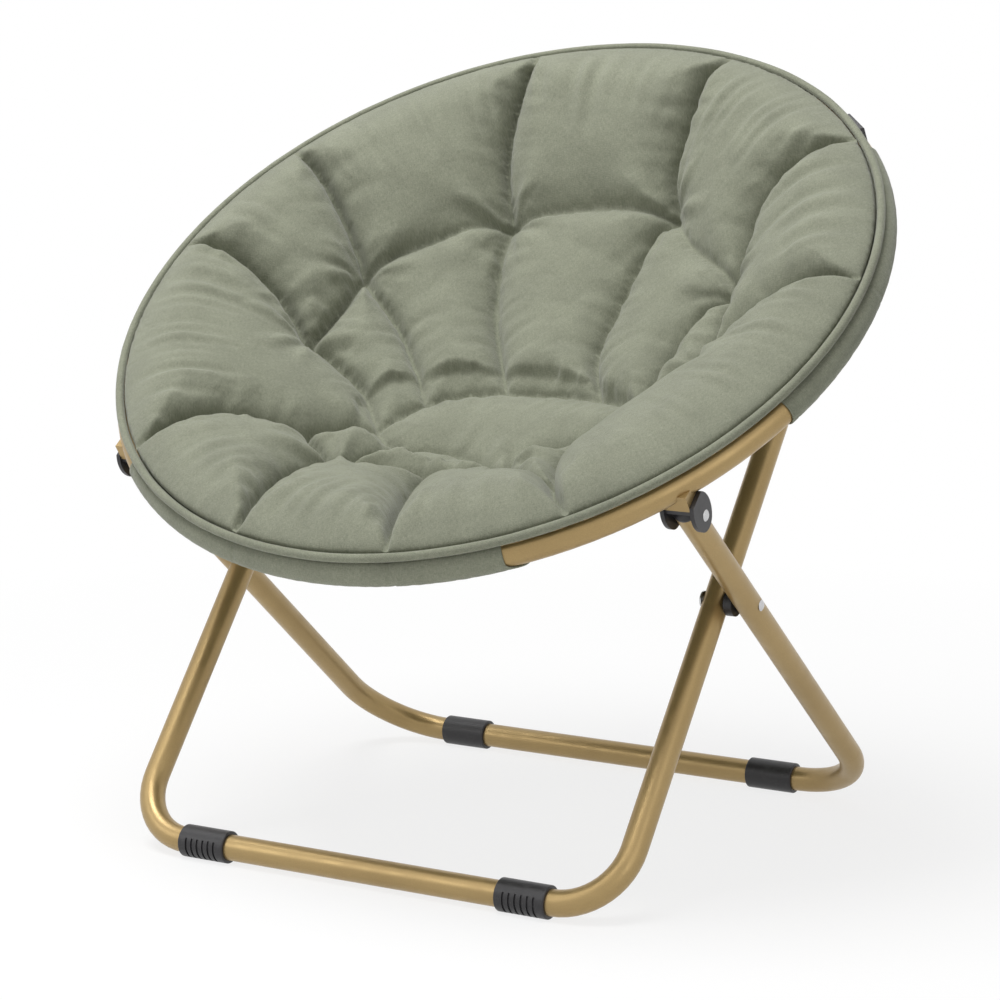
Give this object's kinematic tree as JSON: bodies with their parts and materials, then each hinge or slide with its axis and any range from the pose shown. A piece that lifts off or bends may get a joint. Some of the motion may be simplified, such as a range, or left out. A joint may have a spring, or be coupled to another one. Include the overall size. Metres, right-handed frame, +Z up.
{
  "type": "folding saucer chair",
  "caption": "Folding saucer chair: a tufted round bowl cushion on a tilted ring, carried by two crossed U-shaped tube legs.",
  "frame": {"origin": "middle of the chair's outline on the floor", "axes": "+Z up, +X to the right of someone facing the chair, the sitter faces -Y"},
  "size_m": [0.7928, 0.6574, 0.7743],
  "materials": {
    "gold_tube": "satin gold paint",
    "bright_steel": "bright rivet heads",
    "black_plastic": "matte nylon",
    "sage_fabric": "short-pile sage green cloth over padding"
  },
  "bodies": {
    "rear_legs": {"rear_leg_frame": "gold_tube", "rear_leg_end_plug_right": "black_plastic", "rear_leg_end_plug_left": "black_plastic", "cross_rivet_right": "bright_steel", "cross_rivet_left": "bright_steel", "cross_washer_right": "black_plastic", "cross_washer_left": "black_plastic", "rear_foot_sleeve_right": "black_plastic", "rear_foot_sleeve_left": "black_plastic"},
    "front_legs": {"front_leg_frame": "gold_tube", "cross_spacer_right": "black_plastic", "cross_spacer_left": "black_plastic", "ring_hook_right": "black_plastic", "ring_hook_left": "black_plastic", "hook_pin_right": "bright_steel", "hook_pin_left": "bright_steel", "front_foot_sleeve_right": "black_plastic", "front_foot_sleeve_left": "black_plastic"},
    "seat": {"seat_ring": "gold_tube", "ring_saddle_right": "gold_tube", "ring_saddle_left": "gold_tube", "hinge_fork_right": "black_plastic", "hinge_fork_left": "black_plastic", "hinge_rivet_right": "bright_steel", "hinge_rivet_left": "bright_steel", "seat_sling": "sage_fabric", "seat_cushion": "sage_fabric", "cushion_piping": "sage_fabric", "front_pocket": "sage_fabric", "side_sleeve_right": "sage_fabric", "side_sleeve_left": "sage_fabric", "back_sleeve": "sage_fabric"}
  },
  "joints": [
    {"name": "leg_fold", "type": "hinge", "parent": "rear_legs", "child": "front_legs", "pos_m": [0, -0.04494, 0.26394], "axis": [1, 0, 0], "range_deg": [-85.32, 0], "deforming": ["ring_hook_right", "ring_hook_left"]},
    {"name": "seat_fold", "type": "hinge", "parent": "rear_legs", "child": "seat", "pos_m": [0, -0.17287, 0.36807], "axis": [1, 0, 0], "range_deg": [-71.84, 0], "deforming": ["seat_cushion", "seat_sling"]}
  ],
  "couplings": [
    {"joint": "seat_fold", "follows": "leg_fold", "ratio": 0.84201}
  ]
}
